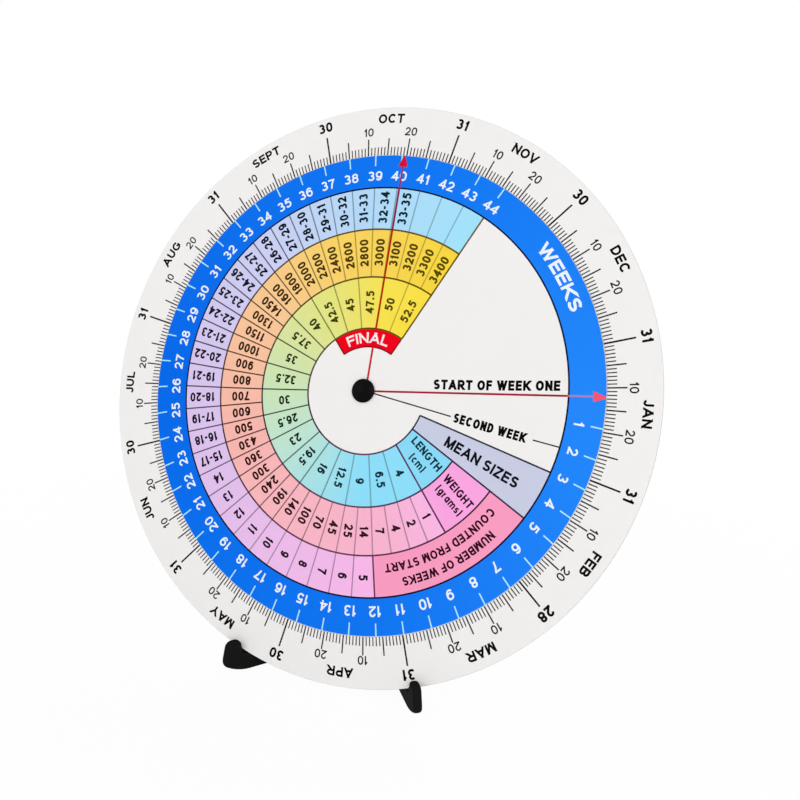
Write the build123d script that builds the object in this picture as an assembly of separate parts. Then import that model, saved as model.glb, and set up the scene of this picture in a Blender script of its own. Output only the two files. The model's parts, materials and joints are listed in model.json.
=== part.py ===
from build123d import *

import os
from math import cos, radians, sin, sqrt, tan

# A two-disc wheel chart that stands in the notches of a small folding easel.
# Lengths in millimetres, angles in degrees. The chart faces -Y and +Z is up.
# While the pieces are made, the line between the two notches lies along X at y = 0,
# and the easel stands on z = 0. At the end everything moves along Y, so that the
# origin lies on the ground under the middle of the whole object.

# Chart discs
base_diameter = 200.0
base_thickness = 1.0
dial_diameter = 165.5
dial_thickness = 0.6
disc_edge_round = 0.2
disc_play = 0.1

# Rivet through the discs
rivet_head_diameter = 8.2
rivet_head_height = 1.6
rivet_head_rim = 0.5
rivet_cap_diameter = 8.2
rivet_cap_height = 1.2
rivet_cap_round = 0.5
rivet_shank_diameter = 4.4
rivet_pin_diameter = 2.4
rivet_pin_depth = 1.4
rivet_running_clearance = 0.08
rivet_seat_clearance = 0.04

# How the chart stands
lean_angle = 21.0
notch_spacing = 63.8
notch_floor_height = 6.9
seat_gap = 0.3
slot_clearance = 0.6

# Easel legs, flat mouldings that open like a book behind the chart
splay_angle = 37.5
leg_thickness = 3.0
fold_gap = 0.2
leg_height = 82.0
upright_width = 9.5
inner_corner_radius = 20.0
top_corner_radius = 3.0
leg_edge_round = 1.1
hook_height = 12.0
hook_rise = 2.4
hook_front_round = 2.6
hook_lip_land = 0.3
toe_length = 6.85
toe_rise_length = 5.3
toe_rise = 3.3
toe_sole_round = 15.0
toe_corner_round = 2.0
toe_nose_height = 5.4
toe_nose_round = 6.0
toe_setback = 1.5

# Easel hinge
hinge_pin_diameter = 2.4
hinge_running_clearance = 0.08
hinge_seat_clearance = 0.03
knuckle_count = 5
knuckle_gap = 0.4
pin_head_diameter = 4.6
pin_head_height = 0.9
pin_head_round = 0.4
pin_end_recess = 0.6

# Directions and radii that follow from the sizes above
lean_cos = cos(radians(lean_angle))
lean_sin = sin(radians(lean_angle))
splay_cos = cos(radians(splay_angle))
splay_sin = sin(radians(splay_angle))
base_radius = base_diameter / 2
notch_x = notch_spacing / 2

# Each leg lies on the outer side of the hinge axis, and its knuckles end flush with its outer face
leg_inner_face = fold_gap / 2
leg_middle = leg_inner_face + leg_thickness / 2
knuckle_radius = leg_inner_face + leg_thickness
plate_start = knuckle_radius + knuckle_gap
upright_front = plate_start + upright_width

# The hook stands up from the foot with a round lip
foot_height = hook_height - hook_rise
hook_lip_round = hook_rise - hook_lip_land

# The middle of a leg's thickness crosses y = 0 at the notch
notch_reach = (notch_x - leg_middle * splay_cos) / splay_sin
hinge_y = notch_reach * splay_cos - leg_middle * splay_sin

# The rim of the base disc touches down first at the inner rear corner of each notch
seat_x = notch_x - leg_thickness / 2 / splay_cos - base_thickness / 2 / lean_cos * splay_sin / splay_cos
seat_drop = sqrt(base_radius**2 - seat_x**2)
notch_drop = sqrt(base_radius**2 - notch_x**2)
centre_y = notch_drop * lean_sin
centre_z = notch_floor_height + seat_gap + seat_drop * lean_cos + base_thickness / 2 * lean_sin

# The plane of the base disc's back, moved back by the seat gap
rest_plane_offset = (base_thickness / 2 + seat_gap) / lean_cos

# The front wall of each slot clears the lowest front edge of the rim
slot_wall_y = centre_y - seat_drop * lean_sin - base_thickness / 2 * lean_cos - slot_clearance
hook_start = (hinge_y + leg_inner_face * splay_sin - slot_wall_y) / splay_cos
toe_tip = hook_start + toe_length

# Heights in the chart's own frame, where z = 0 is the middle of the base disc's thickness
base_front = base_thickness / 2
base_back = -base_thickness / 2
dial_back = base_front + disc_play
dial_front = dial_back + dial_thickness
rivet_head_seat = dial_front + disc_play
rivet_bore_diameter = rivet_pin_diameter + 2 * rivet_seat_clearance

# The chart's frame: x to the right, y up the slope, z out of its printed face
chart_frame = Plane(
    origin=(0, centre_y, centre_z),
    x_dir=(1, 0, 0),
    z_dir=(0, -lean_cos, lean_sin),
)


def rest_plane_y(height):
    """Y of the plane that the easel's bearing faces lie in, at a height above the ground."""
    return centre_y + (height - centre_z) * tan(radians(lean_angle)) + rest_plane_offset


def sheet_disc(diameter, bottom, thickness, hole_diameter):
    """A punched sheet disc with softened rims, in the chart's frame."""
    disc = Pos(0, 0, bottom) * extrude(Circle(diameter / 2), thickness)
    disc = fillet(disc.edges().filter_by(GeomType.CIRCLE), disc_edge_round)
    hole = Pos(0, 0, bottom) * extrude(Circle(hole_diameter / 2), thickness)
    return disc - hole


def base_disc():
    """The larger disc, which stands in the notches."""
    hole = rivet_shank_diameter + 2 * rivet_seat_clearance
    return sheet_disc(base_diameter, base_back, base_thickness, hole)


def dial_disc():
    """The smaller disc, which turns on the rivet's shank."""
    hole = rivet_shank_diameter + 2 * rivet_running_clearance
    return sheet_disc(dial_diameter, dial_back, dial_thickness, hole)


def rivet_post():
    """Front half of the rivet: a domed head and a tubular shank down to the base disc's back."""
    head_radius = rivet_head_diameter / 2
    dome_height = rivet_head_height - rivet_head_rim
    dome_radius = (head_radius**2 + dome_height**2) / (2 * dome_height)
    head = Pos(0, 0, rivet_head_seat) * extrude(Circle(head_radius), rivet_head_height)
    head &= Pos(0, 0, rivet_head_seat + rivet_head_height - dome_radius) * Sphere(dome_radius)
    shank = Pos(0, 0, base_back) * extrude(Circle(rivet_shank_diameter / 2), rivet_head_seat - base_back)
    bore_depth = rivet_pin_depth + rivet_seat_clearance
    bore = Pos(0, 0, base_back) * extrude(Circle(rivet_bore_diameter / 2), bore_depth)
    return head + shank - bore


def rivet_cap():
    """Rear half of the rivet: a low head on the base disc's back, and the pin that snaps into the shank."""
    head = Pos(0, 0, base_back) * extrude(Circle(rivet_cap_diameter / 2), -rivet_cap_height)
    head = fillet(head.edges().group_by(Axis.Z)[0], rivet_cap_round)
    pin = Pos(0, 0, base_back) * extrude(Circle(rivet_pin_diameter / 2), rivet_pin_depth)
    return head + pin


def leg_outline():
    """Side view of a leg: u runs forward from the hinge axis, v up from the ground."""
    rounded_corners = [
        (toe_tip - toe_rise_length, 0, toe_sole_round),
        (toe_tip, toe_rise, toe_corner_round),
        (toe_tip, toe_nose_height, toe_nose_round),
        (toe_tip - toe_setback, hook_height, hook_front_round),
        (hook_start, hook_height, hook_lip_round),
        (upright_front, foot_height, inner_corner_radius),
        (upright_front, leg_height, top_corner_radius),
    ]
    with BuildSketch() as outline:
        with BuildLine():
            Polyline(
                (plate_start, 0),
                (toe_tip - toe_rise_length, 0),
                (toe_tip, toe_rise),
                (toe_tip, toe_nose_height),
                (toe_tip - toe_setback, hook_height),
                (hook_start, hook_height),
                (hook_start, foot_height),
                (upright_front, foot_height),
                (upright_front, leg_height),
                (plate_start, leg_height),
                (plate_start, 0),
            )
        make_face()
        for u, v, radius in rounded_corners:
            fillet(corner_at(outline.vertices(), u, v), radius)
    return outline.sketch


def corner_at(corners, u, v):
    """The outline's corner at (u, v)."""
    return min(corners, key=lambda corner: (corner.X - u) ** 2 + (corner.Y - v) ** 2)


def leg_plate():
    """A leg's flat moulding, closed position, hinge axis on Z and the toe towards -Y."""
    side_view = Plane(origin=(leg_inner_face + leg_thickness, 0, 0), x_dir=(0, -1, 0), z_dir=(-1, 0, 0))
    plate = extrude(side_view * leg_outline(), leg_thickness)
    faces = plate.faces().filter_by(Axis.X)
    rims = faces.edges()
    return fillet(rims, leg_edge_round)


def knuckle_levels(first):
    """Bottom heights of every second knuckle, from the first one up."""
    pitch = (leg_height + knuckle_gap) / knuckle_count
    return [index * pitch for index in range(first, knuckle_count, 2)]


def knuckle(bottom):
    """One barrel round the hinge axis, with the web that joins it to the plate."""
    height = (leg_height + knuckle_gap) / knuckle_count - knuckle_gap
    barrel = Pos(0, 0, bottom) * extrude(Circle(knuckle_radius), height)
    web_length = plate_start + leg_edge_round
    web = Box(leg_thickness, web_length, height, align=(Align.MIN, Align.MAX, Align.MIN))
    return barrel + Pos(leg_inner_face, 0, bottom) * web


def chart_space():
    """What the easel leaves free for the chart: up from the notch floors, in front of the bearing faces."""
    above = leg_height + hook_height
    with BuildPart() as space:
        with BuildSketch(Plane.YZ):
            with BuildLine():
                Polyline(
                    (slot_wall_y, above),
                    (slot_wall_y, notch_floor_height),
                    (rest_plane_y(notch_floor_height), notch_floor_height),
                    (rest_plane_y(above), above),
                    (slot_wall_y, above),
                )
            make_face()
        extrude(amount=base_radius, both=True)
    return space.part


def leg(side, first_knuckle, bore_clearance):
    """One easel leg in its open position. Side is 1 on the right and -1 on the left."""
    body = leg_plate()
    for bottom in knuckle_levels(first_knuckle):
        body += knuckle(bottom)
    body -= extrude(Circle(hinge_pin_diameter / 2 + bore_clearance), leg_height)
    if side < 0:
        body = mirror(body, about=Plane.YZ)
    return Pos(0, hinge_y, 0) * Rot(0, 0, side * splay_angle) * body - chart_space()


def left_leg():
    """The leg that grips the pin, with the outer knuckles."""
    return leg(-1, 0, hinge_seat_clearance)


def right_leg():
    """The leg that swings on the pin, with the inner knuckles."""
    return leg(1, 1, hinge_running_clearance)


def hinge_pin():
    """Headed pin, dropped in from the top."""
    shaft = Pos(0, 0, pin_end_recess) * extrude(Circle(hinge_pin_diameter / 2), leg_height - pin_end_recess)
    head = Pos(0, 0, leg_height) * extrude(Circle(pin_head_diameter / 2), pin_head_height)
    head = fillet(head.edges().group_by(Axis.Z)[-1], pin_head_round)
    return Pos(0, hinge_y, 0) * (shaft + head)


def pieces_on_easel():
    """Every piece by its node name, with the notch line at y = 0."""
    return {
        "base_disc": chart_frame * base_disc(),
        "dial_disc": chart_frame * dial_disc(),
        "rivet_post": chart_frame * rivet_post(),
        "rivet_cap": chart_frame * rivet_cap(),
        "left_leg": left_leg(),
        "right_leg": right_leg(),
        "hinge_pin": hinge_pin(),
    }


def middle_y(pieces):
    """Y of the middle of the whole object."""
    return Compound(list(pieces.values())).bounding_box().center().Y


if __name__ == "__main__":
    os.makedirs("parts", exist_ok=True)
    pieces = pieces_on_easel()
    to_origin = Pos(0, -middle_y(pieces), 0)
    for name, piece in pieces.items():
        export_step(to_origin * piece, f"parts/{name}.step")
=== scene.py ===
import json
from math import ceil, cos, hypot, pi, radians, sin

import bmesh
import bpy
from mathutils import Matrix, Vector


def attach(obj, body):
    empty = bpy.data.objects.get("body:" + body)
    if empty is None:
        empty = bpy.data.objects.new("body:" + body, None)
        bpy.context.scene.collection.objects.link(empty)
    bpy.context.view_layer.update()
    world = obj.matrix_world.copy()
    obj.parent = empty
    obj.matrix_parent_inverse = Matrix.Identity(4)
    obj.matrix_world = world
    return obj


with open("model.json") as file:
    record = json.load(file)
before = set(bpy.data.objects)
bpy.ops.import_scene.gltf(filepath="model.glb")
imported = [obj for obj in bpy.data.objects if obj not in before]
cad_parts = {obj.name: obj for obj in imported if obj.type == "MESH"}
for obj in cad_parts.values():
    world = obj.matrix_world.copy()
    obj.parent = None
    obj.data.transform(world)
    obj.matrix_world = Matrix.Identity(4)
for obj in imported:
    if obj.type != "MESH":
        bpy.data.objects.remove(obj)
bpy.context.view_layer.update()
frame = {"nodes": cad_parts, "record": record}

# The wheel chart's looks: finishes for the CAD pieces, and the print as thin raised pieces on both discs.
# The chart's own frame is read from the joint that the dial turns on.
TURN = next(joint for joint in frame["record"]["behaviour"]["joints"] if joint["name"] == "dial_turn")
CENTRE = Vector(TURN["pos_m"])
FACING = Vector(TURN["axis"]).normalized()
ACROSS = Vector((1, 0, 0))
UPSLOPE = FACING.cross(ACROSS)


def disc_size(node):
    """Radius of a disc node and the height of its front face over the chart's centre."""
    offsets = [vertex.co - CENTRE for vertex in frame["nodes"][node].data.vertices]
    radius = max(hypot(offset.dot(ACROSS), offset.dot(UPSLOPE)) for offset in offsets)
    return radius, max(offset.dot(FACING) for offset in offsets)


BASE_FRONT = disc_size("base_disc")[1]
DIAL_RADIUS, DIAL_FRONT = disc_size("dial_disc")

# Ink layers in metres: how far each print stands over the sheet, and how deep it reaches into it
INK_ROOT = 0.000008
BAND_TOP = 0.000016
THIN_RULE_TOP = 0.000024
RULE_TOP = 0.000028
LETTER_TOP = 0.000036
ARROW_TOP = 0.000052
GOAL_WORD_TOP = 0.000068
# The strokes of a word take turns on a few levels, so that no two that cross lie at one height
STROKE_STEP = 0.0000015
STROKE_LEVELS = 5
# How far inside the dial's edge its print ends
EDGE_MARGIN = 0.0002

# The year scale on the base disc, angles in degrees clockwise from +X as the face is read
YEAR_START = -17.24
DAYS_IN_YEAR = 365
DEGREES_PER_DAY = 360 / DAYS_IN_YEAR
# The scale is printed a little unevenly: its swings in degrees, as cosine and sine parts once and twice round
ONCE_ROUND = (0.40, -0.20)
TWICE_ROUND = (-0.21, -0.13)
# Each month's name and its days
MONTHS = (
    ("JAN", 31), ("FEB", 28), ("MAR", 31), ("APR", 30), ("MAY", 31), ("JUN", 30),
    ("JUL", 31), ("AUG", 31), ("SEPT", 30), ("OCT", 31), ("NOV", 30), ("DEC", 31),
)
# Where a month's name and its numbers stand, in days from its start
NAME_DAY = 15.1
NUMBERED_DAYS = (10, 20)
# A long mark stands at every fifth day that comes before this last one
LONG_MARK_DAYS = 5
LAST_FIFTH_DAY = 30
# The fine marks stand closer than days do: six divisions fill five days
FINE_DIVISIONS_PER_DAY = 1.2

# The week scale on the dial, with angles as on the year scale
WEEK_START = -4.9
DEGREES_PER_WEEK = 7 * DEGREES_PER_DAY
LAST_WEEK = 44
WEEKS_WORD_ANGLE = 325.0
TARGET_WEEK = 40
# The arrow at the target week is printed a little past its mark
TARGET_TURN = 0.6

# The rings are printed a little off the dial's centre: for each radius, how far across and up the slope.
# All are shares of the dial's radius.
PRINT_DRIFT = (
    (0.0, 0.0094, 0.0), (0.26, 0.0092, 0.0), (0.48, 0.0075, 0.0005), (0.68, 0.0029, 0.0034),
    (0.85, 0.0015, 0.0074), (0.92, 0.0006, 0.0054), (1.0, 0.0, 0.0),
)

# Print radii, as shares of the dial's radius
DAY_MARK = 1.037
FIVE_DAY_MARK = 1.075
MONTH_MARK = 1.122
MARK_ROOT = 0.997
DAY_NUMBER_RADIUS = 1.100
MONTH_NAME_RADIUS = 1.155
MONTH_END_RADIUS = 1.162
WEEK_MARK = 0.950
WEEK_NUMBER_RADIUS = 0.905
WEEKS_WORD_RADIUS = 0.930
RING_OUTER = 0.852
RING_MIDDLE = 0.6785
RING_INNER = 0.4787
RING_CORE = 0.2624
GOAL_BLOCK_INNER = 0.185
GOAL_WORD_RADIUS = 0.2235
ARROW_ROOT = 0.040
# How much further out the year scale's labels stand at the top of the disc, and further in at its foot
LABEL_RISE = 0.0056

# Widths of marks, rules and arrows, as shares of the dial's radius
DAY_MARK_WIDTH = 0.0044
FIVE_DAY_MARK_WIDTH = 0.0056
MONTH_MARK_WIDTH = 0.0070
WEEK_MARK_WIDTH = 0.0055
THICK_RULE = 0.0068
THIN_RULE = 0.0056
LEADER_WIDTH = 0.0052
OUTLINE = 0.0056
START_LINE_WIDTH = 0.0080
TARGET_LINE_WIDTH = 0.0084
ARROW_WIDTH = 0.043
ARROW_LENGTH = 0.050
# The arrowhead's flat tip, as a share of the head's width
TIP_SHARE = 0.15

# Letter heights, as shares of the dial's radius
DAY_NUMBER_HEIGHT = 0.0355
MONTH_NAME_HEIGHT = 0.040
MONTH_END_HEIGHT = 0.043
WEEK_NUMBER_HEIGHT = 0.042
WEEKS_WORD_HEIGHT = 0.055
GOAL_WORD_HEIGHT = 0.044

# Letter widths, against those of the plain alphabet
WEEK_NUMBER_STRETCH = 1.04
WEEKS_WORD_STRETCH = 1.13
GOAL_WORD_STRETCH = 1.12

# Stroke weights and the gap between letters, as shares of the letter's height
HEAVY = 0.25
BOLD = 0.215
SEMIBOLD = 0.19
MEDIUM = 0.175
REGULAR = 0.16
TRACKING = 0.13

# Degrees between the points of a letter's rounds, and between those of a ring
ARC_STEP = 18
RING_STEP = 1.5
CIRCLE_POINTS = round(360 / RING_STEP)


def arc(cx, cy, rx, ry, start, end):
    """Points along part of an ellipse in a letter's unit box, angles in degrees."""
    steps = max(2, ceil(abs(end - start) / ARC_STEP))
    angles = [radians(start + (end - start) * step / steps) for step in range(steps + 1)]
    return [(cx + rx * cos(angle), cy + ry * sin(angle)) for angle in angles]


def ring(cx, cy, rx, ry):
    """A whole ellipse in a letter's unit box."""
    return arc(cx, cy, rx, ry, 0, 360)[:-1]


def turned(strokes):
    """The same strokes upside down."""
    return [([(1 - x, 1 - y) for x, y in points], ends) for points, ends in strokes]


# Each letter is its width, as a share of the capital height, and its strokes in a unit box.
# The ends of a stroke are b for a butt end, s for a square one, h for one cut level,
# or o for a closed stroke.
STEM = ([(0, 0), (0, 1)], "ss")
RIGHT_STEM = ([(1, 0), (1, 1)], "ss")
TOP_BAR = ([(0, 1), (1, 1)], "ss")
FOOT_BAR = ([(0, 0), (1, 0)], "ss")
MIDDLE_BAR = ([(0, 0.52), (0.9, 0.52)], "ss")
UPPER_BOWL = ([(0, 1)] + arc(0.55, 0.725, 0.45, 0.275, 90, -90) + [(0, 0.45)], "bb")
SIX = [
    (ring(0.5, 0.33, 0.5, 0.33), "o"),
    (arc(0.55, 0.5, 0.55, 0.5, 42, 180) + [(0, 0.33)], "bb"),
]
LETTERS = {
    "0": (0.68, [(arc(0.5, 0.6, 0.5, 0.4, 0, 180) + arc(0.5, 0.4, 0.5, 0.4, 180, 360), "o")]),
    "1": (0.42, [([(0.8, 0), (0.8, 1)], "ss"), ([(0.75, 0.95), (0, 0.70)], "bb")]),
    "2": (0.68, [(arc(0.49, 0.69, 0.47, 0.31, 170, -35) + [(0.04, 0.03)], "bb"), FOOT_BAR]),
    "3": (0.68, [
        (arc(0.46, 0.755, 0.44, 0.245, 150, -90), "bb"),
        (arc(0.46, 0.265, 0.54, 0.265, 90, -150), "bb"),
    ]),
    "4": (0.72, [([(0.78, 1), (0, 0.27), (1, 0.27)], "bs"), ([(0.76, 0), (0.76, 1)], "ss")]),
    "5": (0.68, [
        ([(0.92, 1), (0.22, 1), (0.1, 0.5)], "sb"),
        (arc(0.46, 0.33, 0.54, 0.33, 138, -150), "bb"),
    ]),
    "6": (0.68, SIX),
    "7": (0.66, [TOP_BAR, ([(0.96, 0.96), (0.56, 0.5), (0.36, 0)], "bh")]),
    "8": (0.68, [(ring(0.5, 0.765, 0.42, 0.235), "o"), (ring(0.5, 0.275, 0.5, 0.275), "o")]),
    "9": (0.68, turned(SIX)),
    "A": (0.96, [([(0, 0), (0.5, 1)], "hh"), ([(1, 0), (0.5, 1)], "hh"), ([(0.2, 0.27), (0.8, 0.27)], "bb")]),
    "B": (0.84, [
        STEM,
        ([(0, 1)] + arc(0.52, 0.755, 0.40, 0.245, 90, -90) + [(0, 0.51)], "bb"),
        ([(0, 0.53)] + arc(0.55, 0.265, 0.45, 0.265, 90, -90) + [(0, 0)], "bb"),
    ]),
    "C": (0.90, [(arc(0.52, 0.5, 0.52, 0.5, 42, 318), "bb")]),
    "D": (0.86, [STEM, ([(0, 1)] + arc(0.4, 0.5, 0.6, 0.5, 90, -90) + [(0, 0)], "bb")]),
    "E": (0.74, [STEM, TOP_BAR, MIDDLE_BAR, FOOT_BAR]),
    "F": (0.70, [STEM, TOP_BAR, MIDDLE_BAR]),
    "G": (0.94, [(arc(0.52, 0.5, 0.52, 0.5, 42, 325), "bb"), ([(0.6, 0.46), (1, 0.46), (1, 0.1)], "bb")]),
    "H": (0.84, [STEM, RIGHT_STEM, ([(0, 0.52), (1, 0.52)], "bb")]),
    "I": (0.20, [STEM]),
    "J": (0.64, [([(1, 1)] + arc(0.5, 0.3, 0.5, 0.3, 0, -165), "sb")]),
    "K": (0.88, [STEM, ([(0.97, 1), (0.05, 0.36)], "hb"), ([(0.3, 0.56), (1, 0)], "bh")]),
    "L": (0.72, [STEM, FOOT_BAR]),
    "M": (0.98, [STEM, RIGHT_STEM, ([(0.03, 1), (0.5, 0)], "hh"), ([(0.97, 1), (0.5, 0)], "hh")]),
    "N": (0.84, [STEM, RIGHT_STEM, ([(0, 1), (1, 0)], "hh")]),
    "O": (0.96, [(ring(0.5, 0.5, 0.5, 0.5), "o")]),
    "P": (0.78, [STEM, UPPER_BOWL]),
    "R": (0.86, [STEM, UPPER_BOWL, ([(0.42, 0.45), (0.98, 0)], "bh")]),
    "S": (0.80, [(arc(0.49, 0.75, 0.45, 0.25, 28, 270) + arc(0.5, 0.25, 0.5, 0.25, 90, -152), "bb")]),
    "T": (0.80, [TOP_BAR, ([(0.5, 0), (0.5, 1)], "sb")]),
    "U": (0.84, [([(0, 1)] + arc(0.5, 0.38, 0.5, 0.38, 180, 360) + [(1, 1)], "ss")]),
    "V": (0.90, [([(0, 1), (0.5, 0)], "hh"), ([(1, 1), (0.5, 0)], "hh")]),
    "W": (1.24, [
        ([(0, 1), (0.26, 0)], "hh"), ([(0.5, 1), (0.26, 0)], "hh"),
        ([(0.5, 1), (0.74, 0)], "hh"), ([(1, 1), (0.74, 0)], "hh"),
    ]),
    "Y": (0.88, [
        ([(0, 1), (0.5, 0.42)], "hb"),
        ([(1, 1), (0.5, 0.42)], "hb"),
        ([(0.5, 0.48), (0.5, 0)], "bs"),
    ]),
    "Z": (0.76, [TOP_BAR, ([(1, 0.96), (0, 0.04)], "bb"), FOOT_BAR]),
    "a": (0.64, [(ring(0.46, 0.325, 0.46, 0.325), "o"), ([(1, 0), (1, 0.65)], "ss")]),
    "c": (0.62, [(arc(0.52, 0.325, 0.52, 0.325, 45, 315), "bb")]),
    "g": (0.66, [
        (ring(0.46, 0.325, 0.46, 0.325), "o"),
        ([(1, 0.65)] + arc(0.5, -0.08, 0.5, 0.2, 0, -150), "sb"),
    ]),
    "m": (1.04, [
        ([(0, 0), (0, 0.65)], "ss"),
        (arc(0.25, 0.40, 0.25, 0.25, 180, 0) + [(0.5, 0)], "bs"),
        (arc(0.75, 0.40, 0.25, 0.25, 180, 0) + [(1, 0)], "bs"),
    ]),
    "r": (0.44, [([(0, 0), (0, 0.65)], "ss"), (arc(0.9, 0.35, 0.9, 0.3, 180, 95), "bb")]),
    "s": (0.60, [(arc(0.49, 0.49, 0.45, 0.16, 28, 270) + arc(0.5, 0.16, 0.5, 0.17, 90, -152), "bb")]),
    "(": (0.32, [(arc(1, 0.42, 1, 0.66, 105, 255), "bb")]),
    ")": (0.32, [(arc(0, 0.42, 1, 0.66, 75, -75), "bb")]),
    "-": (0.36, [([(0, 0.38), (1, 0.38)], "ss")]),
    ".": (0.20, [([(0.5, 0), (0.5, 0.02)], "ss")]),
    " ": (0.22, []),
}
# The furthest that a stroke's corner reaches, against half its weight, and the least cosine it is divided by
MITRE_LIMIT = 2.2
LEAST_COSINE = 0.1


def direction(start, end):
    """Unit vector from one point to another."""
    length = hypot(end[0] - start[0], end[1] - start[1])
    return (end[0] - start[0]) / length, (end[1] - start[1]) / length


def cut_level(corner, heading, level):
    """A stroke's corner, slid along the stroke to a level line."""
    slide = (level - corner[1]) / heading[1]
    return corner[0] + heading[0] * slide, level


def stroke_edges(points, ends, weight):
    """Left and right edge points of a stroke of even width."""
    closed = ends == "o"
    half = weight / 2
    count = len(points)
    left, right = [], []
    for index, (x, y) in enumerate(points):
        before = points[index - 1] if closed or index else None
        after = points[(index + 1) % count] if closed or index < count - 1 else None
        arriving = direction(before, (x, y)) if before else direction((x, y), after)
        leaving = direction((x, y), after) if after else arriving
        nx, ny = -(arriving[1] + leaving[1]), arriving[0] + leaving[0]
        length = hypot(nx, ny)
        nx, ny = nx / length, ny / length
        reach = half * min(MITRE_LIMIT, 1 / max(LEAST_COSINE, nx * -arriving[1] + ny * arriving[0]))
        left.append((x + nx * reach, y + ny * reach))
        right.append((x - nx * reach, y - ny * reach))
    if not closed:
        for index, kind, heading in (
            (0, ends[0], direction(points[1], points[0])),
            (-1, ends[1], direction(points[-2], points[-1])),
        ):
            for edge in (left, right):
                if kind == "s":
                    edge[index] = (edge[index][0] + heading[0] * half, edge[index][1] + heading[1] * half)
                elif kind == "h":
                    edge[index] = cut_level(edge[index], heading, 1 if points[index][1] > 0.5 else 0)
    return left, right, closed


def typeset(text, weight, stretch=1.0):
    """Strokes of a line of text with capitals one unit high, standing on y = 0 and centred on x = 0."""
    strokes = []
    x = 0
    for letter in text:
        width, shapes = LETTERS[letter]
        width = max(weight, width * stretch)
        for points, ends in shapes:
            sized = [
                (x + weight / 2 + px * (width - weight), weight / 2 + py * (1 - weight)) for px, py in points
            ]
            strokes.append(stroke_edges(sized, ends, weight))
        x += width + TRACKING
    middle = (x - TRACKING) / 2
    return [
        ([(px - middle, py) for px, py in left], [(px - middle, py) for px, py in right], closed)
        for left, right, closed in strokes
    ]


def polar(radius, angle):
    """Point on the face at a share of the dial's radius, and degrees clockwise from +X."""
    reach = radius * DIAL_RADIUS
    return reach * cos(radians(angle)), -reach * sin(radians(angle))


def circle_angles():
    """Angles of the points of a whole circle."""
    return [RING_STEP * index for index in range(CIRCLE_POINTS)]


def around(radius, angle, height):
    """Places text along a circle, read clockwise with its tops outward."""
    def place(x, y):
        turn = x * height / radius * 180 / pi
        return polar(radius + (y - 0.5) * height, angle + turn)
    return place


def outward(radius, angle, height, line=0.0):
    """Places text along a spoke, read outward. A positive line number lies further clockwise."""
    def place(x, y):
        along = radius + x * height
        aside = (y - 0.5 - line) * height
        ex, ey = polar(along, angle)
        return ex + aside * DIAL_RADIUS * sin(radians(angle)), ey + aside * DIAL_RADIUS * cos(radians(angle))
    return place


def drifted(x, y):
    """A point of the dial's print, moved by the drift at its radius."""
    share = min(hypot(x, y) / DIAL_RADIUS, 1.0)
    for (low, across, up), (high, next_across, next_up) in zip(PRINT_DRIFT, PRINT_DRIFT[1:]):
        if share <= high:
            mix = (share - low) / (high - low)
            break
    across += (next_across - across) * mix
    up += (next_up - up) * mix
    return x + across * DIAL_RADIUS, y + up * DIAL_RADIUS


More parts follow.
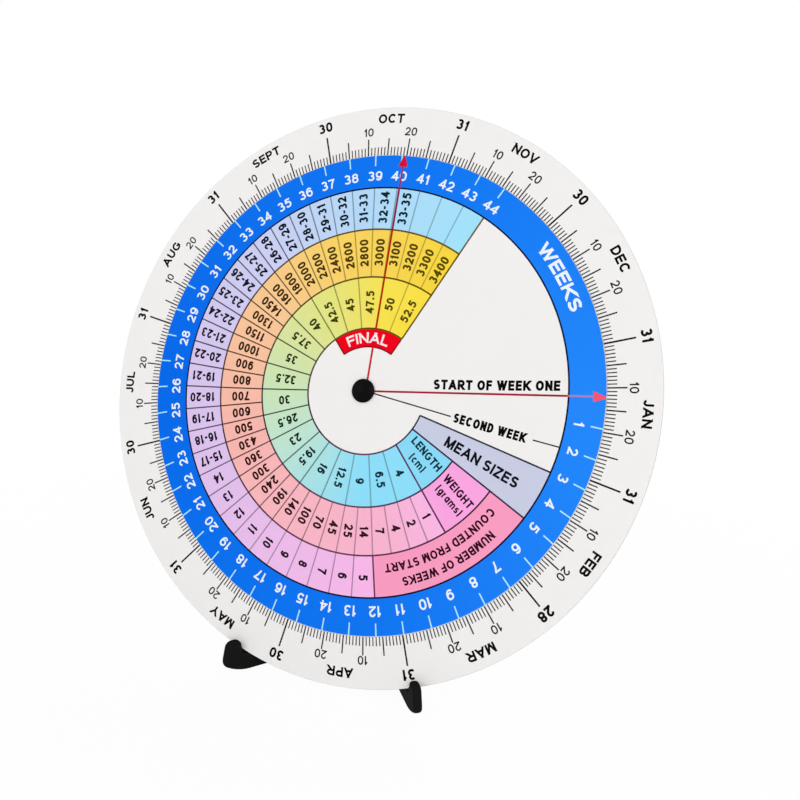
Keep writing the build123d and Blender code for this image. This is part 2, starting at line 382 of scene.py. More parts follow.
class Ink:
    """A print on one of the discs: flat closed strips, a few hundredths of a millimetre thick."""

    def __init__(self, sheet_front, top):
        self.drifts = sheet_front == DIAL_FRONT
        self.low = sheet_front - INK_ROOT
        self.high = sheet_front + top
        self.vertices = []
        self.faces = []
        self.shares = []

    def strip(self, left, right, closed=False, shares=None, lift=0.0):
        """A band between two rows of points on the face."""
        first = len(self.vertices)
        count = len(left)
        for index in range(count):
            for x, y in (left[index], right[index]):
                if self.drifts:
                    x, y = drifted(x, y)
                for height in (self.low, self.high + lift):
                    self.vertices.append(CENTRE + ACROSS * x + UPSLOPE * y + FACING * height)
                    self.shares.append(shares[index] if shares else 0.0)
        for index in range(count if closed else count - 1):
            a = first + 4 * index
            b = first + 4 * ((index + 1) % count)
            self.faces += [
                (a + 1, a + 3, b + 3, b + 1), (a, b, b + 2, a + 2),
                (a, a + 1, b + 1, b), (a + 2, b + 2, b + 3, a + 3),
            ]
        if not closed:
            last = first + 4 * (count - 1)
            self.faces += [(first, first + 2, first + 3, first + 1), (last, last + 1, last + 3, last + 2)]

    def sector(self, inner, outer, start, end):
        """Part of a ring between two radii and two angles."""
        steps = max(1, ceil(abs(end - start) / RING_STEP))
        angles = [start + (end - start) * index / steps for index in range(steps + 1)]
        shares = [index / steps for index in range(steps + 1)]
        self.strip([polar(outer, a) for a in angles], [polar(inner, a) for a in angles], shares=shares)

    def circle(self, inner, outer, shares=None):
        """A whole ring between two radii."""
        angles = circle_angles()
        outer_points = [polar(outer, a) for a in angles]
        inner_points = [polar(inner, a) for a in angles]
        self.strip(outer_points, inner_points, closed=True, shares=shares)

    def spoke(self, inner, outer, angle, width, inner_share=0.0, outer_share=None):
        """A straight radial line."""
        half = width / 2 * DIAL_RADIUS
        dx, dy = half * sin(radians(angle)), half * cos(radians(angle))
        ends = [polar(inner, angle), polar(outer, angle)]
        sides = [[(x + dx, y + dy) for x, y in ends], [(x - dx, y - dy) for x, y in ends]]
        if outer_share is None:
            outer_share = inner_share
        self.strip(*sides, shares=[inner_share, outer_share])

    def text(self, words, weight, place, stretch=1.0, share=0.0):
        """A line of text, put on the face by a placing function."""
        for index, (left, right, closed) in enumerate(typeset(words, weight, stretch)):
            sides = [[place(x, y) for x, y in left], [place(x, y) for x, y in right]]
            lift = index % STROKE_LEVELS * STROKE_STEP
            self.strip(*sides, closed, shares=[share] * len(left), lift=lift)

    def make(self, name, material, body):
        """The print as one piece that rides on a body."""
        mesh = bpy.data.meshes.new(name)
        mesh.from_pydata(self.vertices, [], self.faces)
        layer = mesh.uv_layers.new(name="around")
        for loop in mesh.loops:
            layer.data[loop.index].uv = (self.shares[loop.vertex_index], 0.5)
        work = bmesh.new()
        work.from_mesh(mesh)
        bmesh.ops.recalc_face_normals(work, faces=work.faces)
        work.to_mesh(mesh)
        work.free()
        mesh.materials.append(material)
        piece = bpy.data.objects.new(name, mesh)
        bpy.context.scene.collection.objects.link(piece)
        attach(piece, body)
        return piece


# Strength of the mirror-like part of each finish
INK_GLOSS = 0.02
SHEET_GLOSS = 0.25
RIVET_GLOSS = 0.03
EASEL_GLOSS = 0.002

# Roughness of each finish, and how far it varies to either side of that
PRINT_ROUGHNESS = 0.42
BLACK_INK_ROUGHNESS = 0.45
SHEET_ROUGHNESS = 0.40
RIVET_ROUGHNESS = 0.34
EASEL_ROUGHNESS = 0.42
ROUGHNESS_SPREAD = 0.15

# The fine grain: scale and detail of its noise, its strength, and its depths in metres
SHEET_GRAIN_SCALE = 2600
PLASTIC_GRAIN_SCALE = 1500
GRAIN_DETAIL = 4.0
GRAIN_STRENGTH = 0.35
SHEET_GRAIN_DEPTH = 0.00002
RIVET_GRAIN_DEPTH = 0.00001
EASEL_GRAIN_DEPTH = 0.00004

# Soft patches in roughness and colour: scales and detail of their noise, and how far a colour varies
ROUGHNESS_PATCHES = 90
COLOUR_PATCHES = 35
PATCH_DETAIL = 2.0
SHEET_VARIATION = 0.012
PLASTIC_VARIATION = 0.12

# Painted shade on a disc's rounded edge: tones where its face, at one, rounds over into its edge, at zero
PAINTED_RIM_SHADE_TONES = ((0.05, 1.0), (0.5, 0.35), (0.97, 1.0))

# Colours of the finishes and the plain inks, as display values from 0 to 255
SHEET_WHITE = (245, 243, 241)
RIVET_BLACK = (12, 12, 13)
EASEL_BLACK = (27, 27, 26)
BLACK_INK = (6, 6, 7)
GREY_INK = (28, 28, 30)
WHITE_INK = (238, 248, 255)
MARK_INK = (182, 238, 255)
GOAL_INK = (255, 238, 242)
EDGE_INK = (22, 10, 46)
RED_INK = (244, 0, 26)
DARK_RED_INK = (120, 6, 22)
START_HEAD_INK = (246, 88, 114)
TARGET_HEAD_INK = (218, 16, 54)

# The colour sockets of the mix node, which share their names with its other sockets
MIX_FIRST = 6
MIX_SECOND = 7
MIX_RESULT = 2


def linear(red, green, blue):
    """A colour given as 0 to 255 display values, as linear light."""
    channels = [value / 255 for value in (red, green, blue)]
    return tuple(c / 12.92 if c <= 0.04045 else ((c + 0.055) / 1.055) ** 2.4 for c in channels) + (1.0,)


def new_material(name):
    """An empty node material with its shader."""
    material = bpy.data.materials.new(name)
    material.use_nodes = True
    tree = material.node_tree
    return material, tree, tree.nodes["Principled BSDF"]


def noise(tree, scale, detail=PATCH_DETAIL):
    """Noise in the object's own coordinates."""
    place = tree.nodes.new("ShaderNodeTexCoord")
    texture = tree.nodes.new("ShaderNodeTexNoise")
    texture.inputs["Scale"].default_value = scale
    texture.inputs["Detail"].default_value = detail
    tree.links.new(place.outputs["Object"], texture.inputs["Vector"])
    return texture.outputs["Fac"]


def spread(tree, value, low, high):
    """A value from 0 to 1 spread over another range."""
    node = tree.nodes.new("ShaderNodeMapRange")
    node.inputs["To Min"].default_value = low
    node.inputs["To Max"].default_value = high
    tree.links.new(value, node.inputs["Value"])
    return node.outputs["Result"]


def finish_surface(tree, shader, roughness, grain_scale, grain_depth):
    """Uneven roughness and a fine grain, shared by every material."""
    low = roughness * (1 - ROUGHNESS_SPREAD)
    high = roughness * (1 + ROUGHNESS_SPREAD)
    tree.links.new(spread(tree, noise(tree, ROUGHNESS_PATCHES), low, high), shader.inputs["Roughness"])
    bump = tree.nodes.new("ShaderNodeBump")
    bump.inputs["Strength"].default_value = GRAIN_STRENGTH
    bump.inputs["Distance"].default_value = grain_depth
    tree.links.new(noise(tree, grain_scale, GRAIN_DETAIL), bump.inputs["Height"])
    tree.links.new(bump.outputs["Normal"], shader.inputs["Normal"])


def shaded_colour(tree, source, variation):
    """A colour made slightly lighter and darker in soft patches."""
    shade = tree.nodes.new("ShaderNodeHueSaturation")
    patches = spread(tree, noise(tree, COLOUR_PATCHES), 1 - variation, 1 + variation)
    tree.links.new(patches, shade.inputs["Value"])
    if isinstance(source, tuple):
        shade.inputs["Color"].default_value = source
    else:
        tree.links.new(source, shade.inputs["Color"])
    return shade.outputs["Color"]


def colour_ramp(tree, value, stops):
    """The colour that a row of stops has at a value from 0 to 1."""
    ramp = tree.nodes.new("ShaderNodeValToRGB")
    elements = ramp.color_ramp.elements
    while len(elements) < len(stops):
        elements.new(0.5)
    for element, (position, colour) in zip(elements, stops):
        element.position = position
        element.color = colour
    tree.links.new(value, ramp.inputs["Fac"])
    return ramp.outputs["Color"]


def rim_tone(tree, colour):
    """A colour darkened a little with painted shade where a disc's face rounds over into its edge."""
    place = tree.nodes.new("ShaderNodeTexCoord")
    facing = tree.nodes.new("ShaderNodeVectorMath")
    facing.operation = "DOT_PRODUCT"
    facing.inputs[1].default_value = FACING
    tree.links.new(place.outputs["Normal"], facing.inputs[0])
    greys = [(position, (tone, tone, tone, 1.0)) for position, tone in PAINTED_RIM_SHADE_TONES]
    blend = tree.nodes.new("ShaderNodeMix")
    blend.data_type = "RGBA"
    blend.blend_type = "MULTIPLY"
    blend.inputs["Factor"].default_value = 1.0
    tree.links.new(colour, blend.inputs[MIX_FIRST])
    tree.links.new(colour_ramp(tree, facing.outputs["Value"], greys), blend.inputs[MIX_SECOND])
    return blend.outputs[MIX_RESULT]


def sheet_material(name, colour, roughness=PRINT_ROUGHNESS, gloss=INK_GLOSS, rim=False):
    """Printed or bare satin plastic sheet."""
    material, tree, shader = new_material(name)
    tone = shaded_colour(tree, linear(*colour), SHEET_VARIATION)
    # With rim set, the sheet's rounded edge gets painted shade
    if rim:
        tone = rim_tone(tree, tone)
    tree.links.new(tone, shader.inputs["Base Color"])
    shader.inputs["Specular IOR Level"].default_value = gloss
    finish_surface(tree, shader, roughness, SHEET_GRAIN_SCALE, SHEET_GRAIN_DEPTH)
    return material


def band_material(name, stops):
    """Print whose colour runs from stop to stop along its shares."""
    material, tree, shader = new_material(name)
    place = tree.nodes.new("ShaderNodeUVMap")
    place.uv_map = "around"
    split = tree.nodes.new("ShaderNodeSeparateXYZ")
    tree.links.new(place.outputs["UV"], split.inputs["Vector"])
    colours = [(position, linear(*colour)) for position, colour in stops]
    tone = shaded_colour(tree, colour_ramp(tree, split.outputs["X"], colours), SHEET_VARIATION)
    tree.links.new(tone, shader.inputs["Base Color"])
    shader.inputs["Specular IOR Level"].default_value = INK_GLOSS
    finish_surface(tree, shader, PRINT_ROUGHNESS, SHEET_GRAIN_SCALE, SHEET_GRAIN_DEPTH)
    return material


def plastic_material(name, colour, roughness, gloss, grain_depth):
    """Moulded black plastic."""
    material, tree, shader = new_material(name)
    shader.inputs["Specular IOR Level"].default_value = gloss
    tree.links.new(shaded_colour(tree, linear(*colour), PLASTIC_VARIATION), shader.inputs["Base Color"])
    finish_surface(tree, shader, roughness, PLASTIC_GRAIN_SCALE, grain_depth)
    return material


def dress_nodes():
    """Finishes for the CAD pieces."""
    # The bare sheet carries painted shade along the discs' rounded rims
    sheet = sheet_material("white_sheet", SHEET_WHITE, SHEET_ROUGHNESS, SHEET_GLOSS, rim=True)
    rivet = plastic_material("rivet_black", RIVET_BLACK, RIVET_ROUGHNESS, RIVET_GLOSS, RIVET_GRAIN_DEPTH)
    easel = plastic_material("easel_black", EASEL_BLACK, EASEL_ROUGHNESS, EASEL_GLOSS, EASEL_GRAIN_DEPTH)
    finishes = {
        "base_disc": sheet, "dial_disc": sheet, "rivet_post": rivet, "rivet_cap": rivet,
        "left_leg": easel, "right_leg": easel, "hinge_pin": easel,
    }
    for node, material in finishes.items():
        frame["nodes"][node].data.materials.clear()
        frame["nodes"][node].data.materials.append(material)


def day_angle(day):
    """Angle of the end of a day of the year, with the scale's swings."""
    even = YEAR_START + day * DEGREES_PER_DAY
    once = radians(even)
    swing = ONCE_ROUND[0] * cos(once) + ONCE_ROUND[1] * sin(once)
    swing += TWICE_ROUND[0] * cos(2 * once) + TWICE_ROUND[1] * sin(2 * once)
    return even + swing


def week_angle(week):
    """Angle of a week's mark on the dial."""
    return WEEK_START + week * DEGREES_PER_WEEK


def mark_month(marks, start, days):
    """A month's marks: long ones at every fifth day and at its end, and fine ones spread between them."""
    long_days = [*range(0, min(days, LAST_FIFTH_DAY), LONG_MARK_DAYS), days]
    for day, next_day in zip(long_days, long_days[1:]):
        divisions = round((next_day - day) * FINE_DIVISIONS_PER_DAY)
        for division in range(1, divisions):
            fine_day = day + (next_day - day) * division / divisions
            marks.spoke(MARK_ROOT, DAY_MARK, day_angle(start + fine_day), DAY_MARK_WIDTH)
        if next_day < days:
            marks.spoke(MARK_ROOT, FIVE_DAY_MARK, day_angle(start + next_day), FIVE_DAY_MARK_WIDTH)
    marks.spoke(MARK_ROOT, MONTH_MARK, day_angle(start + days), MONTH_MARK_WIDTH)


def label_place(radius, day, height):
    """Places a label of the year scale, further out at the top of the disc and further in at its foot."""
    angle = day_angle(day)
    return around(radius - LABEL_RISE * sin(radians(angle)), angle, height)


def print_year(black, grey):
    """Day marks, day numbers and month names round the base disc."""
    marks = Ink(BASE_FRONT, RULE_TOP)
    names = Ink(BASE_FRONT, LETTER_TOP)
    numbers = Ink(BASE_FRONT, LETTER_TOP)
    start = 0
    for name, days in MONTHS:
        mark_month(marks, start, days)
        for day in NUMBERED_DAYS:
            numbers.text(str(day), REGULAR, label_place(DAY_NUMBER_RADIUS, start + day, DAY_NUMBER_HEIGHT))
        names.text(name, BOLD, label_place(MONTH_NAME_RADIUS, start + NAME_DAY, MONTH_NAME_HEIGHT))
        start += days
        names.text(str(days), BOLD, label_place(MONTH_END_RADIUS, start, MONTH_END_HEIGHT))
    marks.make("day_marks", grey, "chart")
    names.make("month_names", black, "chart")
    numbers.make("day_numbers", grey, "chart")


def dial_edge():
    """Where the print on the dial ends, just short of the rounded rim."""
    return 1 - EDGE_MARGIN / DIAL_RADIUS


def print_week_ring(blue, mark_white, white):
    """The blue ring with its week marks and numbers."""
    outer_edge = dial_edge()
    band = Ink(DIAL_FRONT, BAND_TOP)
    # Shares run from the ring's left side to its right, for the painted light on its blue
    band.circle(RING_OUTER, outer_edge, [abs(1 - angle / 180) for angle in circle_angles()])
    band.make("week_ring", blue, "dial")
    marks = Ink(DIAL_FRONT, RULE_TOP)
    numbers = Ink(DIAL_FRONT, LETTER_TOP)
    for week in range(1, LAST_WEEK + 1):
        angle = week_angle(week)
        marks.spoke(WEEK_MARK, outer_edge, angle, WEEK_MARK_WIDTH)
        place = around(WEEK_NUMBER_RADIUS, angle, WEEK_NUMBER_HEIGHT)
        numbers.text(str(week), MEDIUM, place, WEEK_NUMBER_STRETCH)
    place = around(WEEKS_WORD_RADIUS, WEEKS_WORD_ANGLE, WEEKS_WORD_HEIGHT)
    numbers.text("WEEKS", BOLD, place, WEEKS_WORD_STRETCH)
    marks.make("week_marks", mark_white, "dial")
    numbers.make("week_numbers", white, "dial")


# Colours of the blue ring from its left side to its right, as display values from 0 to 255: its blue print,
# made lighter toward the right with painted light
BLUE_WITH_PAINTED_LIGHT_STOPS = ((0.0, (0, 108, 240)), (0.55, (15, 121, 248)), (1.0, (36, 138, 255)))
# Colours round each ring of cells, from its first week to the last one
OUTER_STOPS = (
    (0.0, (255, 188, 238)), (0.17, (243, 195, 241)), (0.3, (230, 198, 243)), (0.5, (219, 205, 245)),
    (0.68, (208, 214, 250)), (0.84, (182, 222, 253)), (1.0, (164, 231, 255)),
)
MIDDLE_STOPS = (
    (0.0, (255, 188, 234)), (0.08, (255, 184, 215)), (0.3, (255, 188, 194)), (0.42, (254, 187, 179)),
    (0.57, (255, 199, 163)), (0.66, (254, 205, 151)), (0.8, (255, 215, 103)), (1.0, (252, 219, 62)),
)
INNER_STOPS = (
    (0.0, (145, 227, 255)), (0.14, (145, 228, 255)), (0.36, (195, 234, 216)), (0.58, (216, 234, 174)),
    (0.75, (233, 234, 132)), (0.9, (253, 231, 82)), (1.0, (255, 228, 70)),
)
# Colours of the wedge and of the blocks that head the rings
HEADER_COLOURS = {
    "mean_wedge": (205, 209, 232),
    "count_block": (255, 160, 198),
    "weight_block": (255, 169, 229),
    "length_block": (140, 222, 252),
}
# Colours of the thick rules, from the start of the wedge to the last week
RULE_STOPS = (
    (0.0, (47, 47, 59)), (0.05, (64, 41, 65)), (0.12, (92, 46, 88)), (0.22, (108, 52, 88)),
    (0.45, (60, 40, 62)), (0.75, (88, 66, 40)), (1.0, (104, 80, 12)),
)
# How dark the thin rules are against the cells round the ring
THIN_RULE_TONES = (
    (0.0, 0.70), (0.17, 0.72), (0.35, 0.40), (0.47, 0.27), (0.67, 0.38), (0.80, 0.68), (1.0, 0.80),
)
# Week marks at which the wedge, the heading blocks, the outer cells and the red block start or end
MEAN_WEEKS = (3, 5)
HEADER_START = 5
HEADER_END = 8
OUTER_START = 12
GOAL_START = 34


def colour_at(stops, share):
    """The colour between two stops."""
    for (low, first), (high, second) in zip(stops, stops[1:]):
        if share <= high:
            mix = (share - low) / (high - low)
            return tuple(a + (b - a) * mix for a, b in zip(first, second))
    return stops[-1][1]


def toned(stops, tones):
    """Stops darkened by a tone that changes round the ring."""
    return tuple((share, tuple(tone * c for c in colour_at(stops, share))) for share, tone in tones)


# How dark the ink is against the cell it lies on, and how much of the cell's grey is taken out of it
DEEP_TONE = 0.42
DEEP_CUT = 0.8


def deep(colour):
    """The dark, strong tint that ink takes on a coloured cell."""
    return tuple(DEEP_TONE * (channel - DEEP_CUT * min(colour)) for channel in colour)


# Each ring of cells: its name, its radii, its first week, the weeks in a cell, and its colours
CELL_RINGS = (
    ("outer", RING_MIDDLE, RING_OUTER, OUTER_START, 1, OUTER_STOPS),
    ("middle", RING_INNER, RING_MIDDLE, HEADER_END, 1, MIDDLE_STOPS),
    ("inner", RING_CORE, RING_INNER, HEADER_END, 2, INNER_STOPS),
)


def print_cells():
    """The three rings of coloured cells and the blocks that head them."""
    for name, inner, outer, first, step, stops in CELL_RINGS:
        band = Ink(DIAL_FRONT, BAND_TOP)
        band.sector(inner, outer, week_angle(first), week_angle(LAST_WEEK))
        band.make(f"{name}_cells", band_material(f"{name}_cells", stops), "dial")
        print_thin_rules(name, inner, outer, first, step, stops)
    for name, inner, outer, start, end in (
        ("mean_wedge", RING_CORE, RING_OUTER, *MEAN_WEEKS),
        ("count_block", RING_MIDDLE, RING_OUTER, HEADER_START, OUTER_START),
        ("weight_block", RING_INNER, RING_MIDDLE, HEADER_START, HEADER_END),
        ("length_block", RING_CORE, RING_INNER, HEADER_START, HEADER_END),
    ):
        block = Ink(DIAL_FRONT, BAND_TOP)
        block.sector(inner, outer, week_angle(start), week_angle(end))
        block.make(name, sheet_material(name, HEADER_COLOURS[name]), "dial")
    print_thick_rules()


def print_thin_rules(name, inner, outer, first, step, stops):
    """Fine lines between the cells of one ring."""
    rules = Ink(DIAL_FRONT, THIN_RULE_TOP)
    for week in range(first + step, LAST_WEEK, step):
        rules.spoke(inner, outer, week_angle(week), THIN_RULE, (week - first) / (LAST_WEEK - first))
    rules.make(f"{name}_rules", band_material(f"{name}_rules", toned(stops, THIN_RULE_TONES)), "dial")


def print_thick_rules():
    """Dark lines round the rings and the blocks."""
    half = THICK_RULE / 2
    edge = Ink(DIAL_FRONT, RULE_TOP)
    edge.circle(RING_OUTER - half, RING_OUTER + half)
    edge.make("ring_edge", sheet_material("edge_ink", EDGE_INK), "dial")
    rules = Ink(DIAL_FRONT, RULE_TOP)
    first = MEAN_WEEKS[0]
    for radius, start in ((RING_MIDDLE, HEADER_START), (RING_INNER, HEADER_START), (RING_CORE, first)):
        rules.sector(radius - half, radius + half, week_angle(start), week_angle(LAST_WEEK))
    for week, inner, outer in (
        (first, RING_CORE, RING_OUTER),
        (HEADER_START, RING_CORE, RING_OUTER),
        (HEADER_END, RING_CORE, RING_MIDDLE),
        (OUTER_START, RING_MIDDLE, RING_OUTER),
        (LAST_WEEK, RING_CORE, RING_OUTER),
    ):
        rules.spoke(inner, outer - half, week_angle(week), THICK_RULE, (week - first) / (LAST_WEEK - first))
    rules.make("cell_rules", band_material("cell_rules", RULE_STOPS), "dial")


# The outer ring counts up from a first number, in single numbers and then in ranges
OUTER_CELLS = 29
OUTER_FIRST_NUMBER = 5
OUTER_SINGLES = 10
OUTER_RANGE = 2


def outer_label(cell):
    """Number or range in a cell of the outer ring."""
    number = cell + OUTER_FIRST_NUMBER
    return str(number) if cell < OUTER_SINGLES else f"{number}-{number + OUTER_RANGE}"


MIDDLE_LABELS = (
    1, 2, 4, 7, 14, 25, 45, 70, 100, 140, 190, 240, 300, 360, 430, 500, 600, 700,
    800, 900, 1000, 1150, 1300, 1450, 1600, 1800, 2000, 2200, 2400, 2600, 2800, 3000, 3100, 3200, 3300, 3400,
)
INNER_LABELS = (4, 6.5, 9, 12.5, 16, 19.5, 23, 26.5, 30, 32.5, 35, 37.5, 40, 42.5, 45, 47.5, 50, 52.5)
OUTER_LABELS = tuple(outer_label(cell) for cell in range(OUTER_CELLS))
# For each ring: its labels, and the radius, height and stretch that they are set with
CELL_LABELS = {
    "outer": (OUTER_LABELS, 0.769, 0.040, 0.90),
    "middle": (MIDDLE_LABELS, 0.5805, 0.039, 0.93),
    "inner": (INNER_LABELS, 0.372, 0.037, 0.95),
}


def print_cell_numbers():
    """A number in each cell, read outward from the centre."""
    for name, _, _, first, step, stops in CELL_RINGS:
        labels, radius, height, stretch = CELL_LABELS[name]
        numbers = Ink(DIAL_FRONT, LETTER_TOP)
        for cell, label in enumerate(labels):
            week = first + (cell + 0.5) * step
            share = (week - first) / (LAST_WEEK - first)
            numbers.text(str(label), BOLD, outward(radius, week_angle(week), height), stretch, share)
        inks = tuple((share, deep(colour)) for share, colour in stops)
        numbers.make(f"{name}_numbers", band_material(f"{name}_numbers", inks), "dial")


# Words on the wedge and the blocks: radii of their middles, heights and stretches
MEAN_WORDS_RADIUS = 0.583
MEAN_WORDS_HEIGHT = 0.044
MEAN_WORDS_STRETCH = 0.95
LENGTH_WORDS_RADIUS = 0.376
WEIGHT_WORDS_RADIUS = 0.580
UNIT_WORDS_HEIGHT = 0.034
UNIT_WORDS_STRETCH = 0.88
COUNT_WORDS_RADII = (0.800, 0.735)
COUNT_WORDS_HEIGHT = 0.036
COUNT_WORDS_STRETCH = 0.86
# How far a quantity and its unit lie to either side of their block's middle, in letter heights
UNIT_LINE = 0.75


def quantity_lines(quantity, unit, radius):
    """A quantity and its unit under it, in the middle of a heading block."""
    middle = week_angle((HEADER_START + HEADER_END) / 2)
    over = outward(radius, middle, UNIT_WORDS_HEIGHT, -UNIT_LINE)
    under = outward(radius, middle, UNIT_WORDS_HEIGHT, UNIT_LINE)
    return (quantity, BOLD, over, UNIT_WORDS_STRETCH), (unit, SEMIBOLD, under, UNIT_WORDS_STRETCH)


def print_block_words():
    """Words in the blocks that head the rings."""
    mean_place = outward(MEAN_WORDS_RADIUS, week_angle(sum(MEAN_WEEKS) / 2), MEAN_WORDS_HEIGHT)
    count_middle = week_angle((HEADER_START + OUTER_START) / 2)
    count_places = [around(radius, count_middle, COUNT_WORDS_HEIGHT) for radius in COUNT_WORDS_RADII]
    lines = {
        "mean_wedge": (("MEAN SIZES", BOLD, mean_place, MEAN_WORDS_STRETCH),),
        "length_block": quantity_lines("LENGTH", "(cm)", LENGTH_WORDS_RADIUS),
        "weight_block": quantity_lines("WEIGHT", "(grams)", WEIGHT_WORDS_RADIUS),
        "count_block": (
            ("NUMBER OF WEEKS", BOLD, count_places[0], COUNT_WORDS_STRETCH),
            ("COUNTED FROM START", BOLD, count_places[1], COUNT_WORDS_STRETCH),
        ),
    }
    for block, texts in lines.items():
        words = Ink(DIAL_FRONT, LETTER_TOP)
        for text in texts:
            words.text(*text)
        ink = sheet_material(f"{block}_ink", deep(HEADER_COLOURS[block]))
        words.make(f"{block}_words", ink, "dial")


# The first heading stands beside its arrow, shifted by a share of its letters' height
FIRST_HEADING_RADIUS = 0.5565
FIRST_HEADING_HEIGHT = 0.040
FIRST_HEADING_STRETCH = 0.85
FIRST_HEADING_SHIFT = -0.88
# The second heading stands in a gap of its line
SECOND_HEADING_WEEK = 2
SECOND_HEADING_RADIUS = 0.5570
SECOND_HEADING_HEIGHT = 0.038
SECOND_HEADING_STRETCH = 0.765
GAP_START = 0.388
GAP_END = 0.742


def print_headings(black):
    """Words along the first arrow, and in the line that comes after it."""
    words = Ink(DIAL_FRONT, LETTER_TOP)
    place = outward(FIRST_HEADING_RADIUS, week_angle(0), FIRST_HEADING_HEIGHT, FIRST_HEADING_SHIFT)
    words.text("START OF WEEK ONE", HEAVY, place, FIRST_HEADING_STRETCH)
    line = week_angle(SECOND_HEADING_WEEK)
    place = outward(SECOND_HEADING_RADIUS, line, SECOND_HEADING_HEIGHT)
    words.text("SECOND WEEK", HEAVY, place, SECOND_HEADING_STRETCH)
    words.spoke(ARROW_ROOT, GAP_START, line, LEADER_WIDTH)
    words.spoke(GAP_END, RING_OUTER, line, LEADER_WIDTH)
    words.make("headings", black, "dial")


def print_goal_block(white):
    """The red block under the last weeks, with its outline and its word."""
    start, end = week_angle(GOAL_START), week_angle(LAST_WEEK)
    block = Ink(DIAL_FRONT, BAND_TOP)
    block.sector(GOAL_BLOCK_INNER, RING_CORE, start, end)
    block.make("goal_block", sheet_material("red_ink", RED_INK), "dial")
    outline = Ink(DIAL_FRONT, RULE_TOP)
    outline.sector(GOAL_BLOCK_INNER - OUTLINE / 2, GOAL_BLOCK_INNER + OUTLINE / 2, start, end)
    for angle in (start, end):
        outline.spoke(GOAL_BLOCK_INNER, RING_CORE - THICK_RULE / 2, angle, OUTLINE)
    outline.make("goal_outline", sheet_material("dark_red_ink", DARK_RED_INK), "dial")
    word = Ink(DIAL_FRONT, GOAL_WORD_TOP)
    place = around(GOAL_WORD_RADIUS, (start + end) / 2, GOAL_WORD_HEIGHT)
    word.text("FINAL", SEMIBOLD, place, GOAL_WORD_STRETCH)
    word.make("goal_word", white, "dial")


# Colours along the arrows' lines, from the rivet out: the ink takes on something of what it crosses
START_LINE_STOPS = (
    (0.0, (172, 30, 62)), (0.885, (172, 30, 62)), (0.90, (180, 128, 188)), (1.0, (180, 128, 188)),
)
TARGET_LINE_STOPS = (
    (0.0, (200, 20, 32)), (0.23, (200, 20, 32)), (0.26, (178, 30, 0)), (0.69, (178, 30, 0)),
    (0.72, (136, 26, 64)), (0.88, (136, 26, 64)), (0.91, (150, 56, 124)), (1.0, (150, 56, 124)),
)


def print_arrow(name, angle, line_stops, line_width, head_colour):
    """A red arrow from the rivet to the edge of the dial."""
    tip = dial_edge()
    line = Ink(DIAL_FRONT, ARROW_TOP)
    line.spoke(ARROW_ROOT, tip - ARROW_LENGTH, angle, line_width, 0.0, 1.0)
    line.make(f"{name}_line", band_material(f"{name}_line_ink", line_stops), "dial")
    head = Ink(DIAL_FRONT, ARROW_TOP)
    root, point = polar(tip - ARROW_LENGTH, angle), polar(tip, angle)
    half = ARROW_WIDTH / 2 * DIAL_RADIUS
    dx, dy = half * sin(radians(angle)), half * cos(radians(angle))
    head.strip(
        [(root[0] + dx, root[1] + dy), (point[0] + dx * TIP_SHARE, point[1] + dy * TIP_SHARE)],
        [(root[0] - dx, root[1] - dy), (point[0] - dx * TIP_SHARE, point[1] - dy * TIP_SHARE)],
    )
    head.make(f"{name}_head", sheet_material(f"{name}_head_ink", head_colour), "dial")


def print_chart():
    """All the print on both discs."""
    black = sheet_material("black_ink", BLACK_INK, BLACK_INK_ROUGHNESS)
    grey = sheet_material("grey_ink", GREY_INK, BLACK_INK_ROUGHNESS)
    white = sheet_material("white_ink", WHITE_INK)
    mark_white = sheet_material("mark_ink", MARK_INK)
    goal_white = sheet_material("goal_ink", GOAL_INK)
    blue = band_material("blue_ink", BLUE_WITH_PAINTED_LIGHT_STOPS)
    print_year(black, grey)
    print_week_ring(blue, mark_white, white)
    print_cells()
    print_cell_numbers()
    print_block_words()
    print_headings(black)
    print_goal_block(goal_white)
    print_arrow("start_arrow", week_angle(0), START_LINE_STOPS, START_LINE_WIDTH, START_HEAD_INK)
    target = week_angle(TARGET_WEEK) + TARGET_TURN
    print_arrow("target_arrow", target, TARGET_LINE_STOPS, TARGET_LINE_WIDTH, TARGET_HEAD_INK)


# Camera, where the photograph was taken from, in metres and degrees
CAMERA_PLACE = (0.13471, -0.30025, 0.19295)
CAMERA_AZIMUTH = 21.92
CAMERA_ELEVATION = 16.74
CAMERA_ROLL = 0.456
NEAREST_SEEN = 0.01
# Its lens and sensor, in millimetres
CAMERA_LENS = 45.09
SENSOR_WIDTH = 36.0


def add_camera():
    """A nearly level camera in front of the chart, to its right and above."""
    azimuth, elevation = radians(CAMERA_AZIMUTH), radians(CAMERA_ELEVATION)
    data = bpy.data.cameras.new("camera")
    data.lens = CAMERA_LENS
    data.sensor_width = SENSOR_WIDTH
    data.sensor_fit = "HORIZONTAL"
    data.clip_start = NEAREST_SEEN
    camera = bpy.data.objects.new("camera", data)
    turn = Matrix.Rotation(azimuth, 4, "Z") @ Matrix.Rotation(pi / 2 - elevation, 4, "X")
    turn = turn @ Matrix.Rotation(radians(CAMERA_ROLL), 4, "Z")
    camera.matrix_world = Matrix.Translation(CAMERA_PLACE) @ turn
    bpy.context.scene.collection.objects.link(camera)
    bpy.context.scene.camera = camera


# Each lamp's name, its place in metres, and its power in watts
LAMPS = (
    ("key_lamp", (0.85, -0.95, 0.75), 9.4),
    ("fill_lamp", (-1.0, -1.0, 0.8), 5.4),
    ("back_lamp", (0.3, 1.2, 1.0), 7),
)
LAMP_SIZE = 1.0
LAMP_TARGET = (0, 0, 0.09)
WHITE = (1, 1, 1, 1)
WORLD_STRENGTH = 0.36


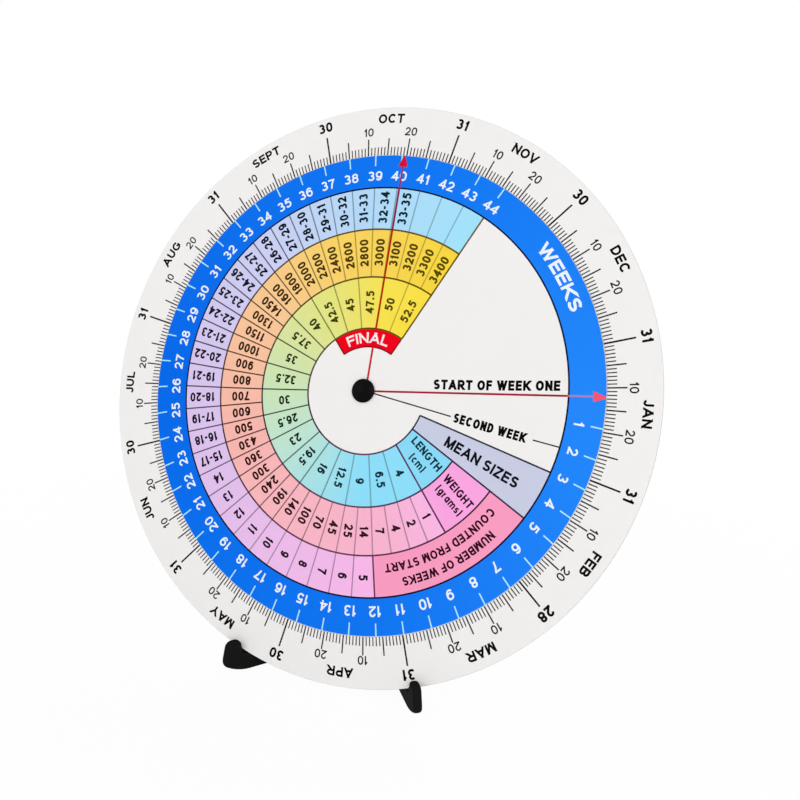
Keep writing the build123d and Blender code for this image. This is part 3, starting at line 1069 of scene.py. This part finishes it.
def add_lamp(name, place, power):
    """A soft square lamp aimed at the middle of the chart."""
    data = bpy.data.lights.new(name, "AREA")
    data.size = LAMP_SIZE
    data.energy = power
    lamp = bpy.data.objects.new(name, data)
    lamp.location = place
    lamp.rotation_euler = (Vector(LAMP_TARGET) - Vector(place)).to_track_quat("-Z", "Y").to_euler()
    bpy.context.scene.collection.objects.link(lamp)


def add_lights():
    """Soft studio light from above, from both sides and from behind."""
    for name, place, power in LAMPS:
        add_lamp(name, place, power)


def combined(tree, operation, first, second):
    """Two values put together by a math node."""
    node = tree.nodes.new("ShaderNodeMath")
    node.operation = operation
    tree.links.new(first, node.inputs[0])
    tree.links.new(second, node.inputs[1])
    return node.outputs[0]


def camera_white(tree, plain, glow_kind, strength=None):
    """A shader that the camera, mirrors and glass see as white, and light sees as the plain one."""
    path = tree.nodes.new("ShaderNodeLightPath")
    glow = tree.nodes.new(glow_kind)
    glow.inputs["Color"].default_value = WHITE
    glow.inputs["Strength"].default_value = 1.0
    seen = path.outputs["Is Camera Ray"]
    for other in ("Is Glossy Ray", "Is Transmission Ray"):
        seen = combined(tree, "MAXIMUM", seen, path.outputs[other])
    if strength is not None:
        seen = combined(tree, "MULTIPLY", seen, strength)
    mix = tree.nodes.new("ShaderNodeMixShader")
    tree.links.new(seen, mix.inputs[0])
    tree.links.new(plain, mix.inputs[1])
    tree.links.new(glow.outputs[0], mix.inputs[2])
    return mix.outputs[0]


def add_world():
    """Even pale light all round, seen as white."""
    world = bpy.data.worlds.new("world")
    world.use_nodes = True
    bpy.context.scene.world = world
    tree = world.node_tree
    plain = tree.nodes["Background"]
    plain.inputs["Color"].default_value = WHITE
    plain.inputs["Strength"].default_value = WORLD_STRENGTH
    surface = camera_white(tree, plain.outputs[0], "ShaderNodeBackground")
    tree.links.new(surface, tree.nodes["World Output"].inputs["Surface"])


# The floor's half width and how far it lies under the feet, in metres
FLOOR_REACH = 6.0
FLOOR_DROP = 0.00002
FLOOR_COLOUR = (246, 246, 246)
FLOOR_ROUGHNESS = 0.8
# It fades to pure white between these distances, in metres, from this share of white near the feet
FADE_START = 0.08
FADE_END = 0.30
NEAR_WHITE = 0.96


def add_floor():
    """A pale floor that fades into the white background away from the object."""
    reach = FLOOR_REACH
    mesh = bpy.data.meshes.new("floor")
    corners = [(-reach, -reach, 0), (reach, -reach, 0), (reach, reach, 0), (-reach, reach, 0)]
    mesh.from_pydata(corners, [], [(0, 1, 2, 3)])
    floor = bpy.data.objects.new("floor", mesh)
    floor.location.z = -FLOOR_DROP
    bpy.context.scene.collection.objects.link(floor)
    material, tree, shader = new_material("floor")
    shader.inputs["Base Color"].default_value = linear(*FLOOR_COLOUR)
    shader.inputs["Roughness"].default_value = FLOOR_ROUGHNESS
    place = tree.nodes.new("ShaderNodeTexCoord")
    length = tree.nodes.new("ShaderNodeVectorMath")
    length.operation = "LENGTH"
    fade = tree.nodes.new("ShaderNodeMapRange")
    fade.inputs["From Min"].default_value = FADE_START
    fade.inputs["From Max"].default_value = FADE_END
    fade.inputs["To Min"].default_value = NEAR_WHITE
    fade.inputs["To Max"].default_value = 1.0
    tree.links.new(place.outputs["Object"], length.inputs[0])
    tree.links.new(length.outputs["Value"], fade.inputs["Value"])
    surface = camera_white(tree, shader.outputs[0], "ShaderNodeEmission", fade.outputs["Result"])
    tree.links.new(surface, tree.nodes["Material Output"].inputs["Surface"])
    mesh.materials.append(material)


dress_nodes()
print_chart()
add_camera()
add_lights()
add_world()
add_floor()
bpy.context.scene.view_settings.view_transform = "Standard"
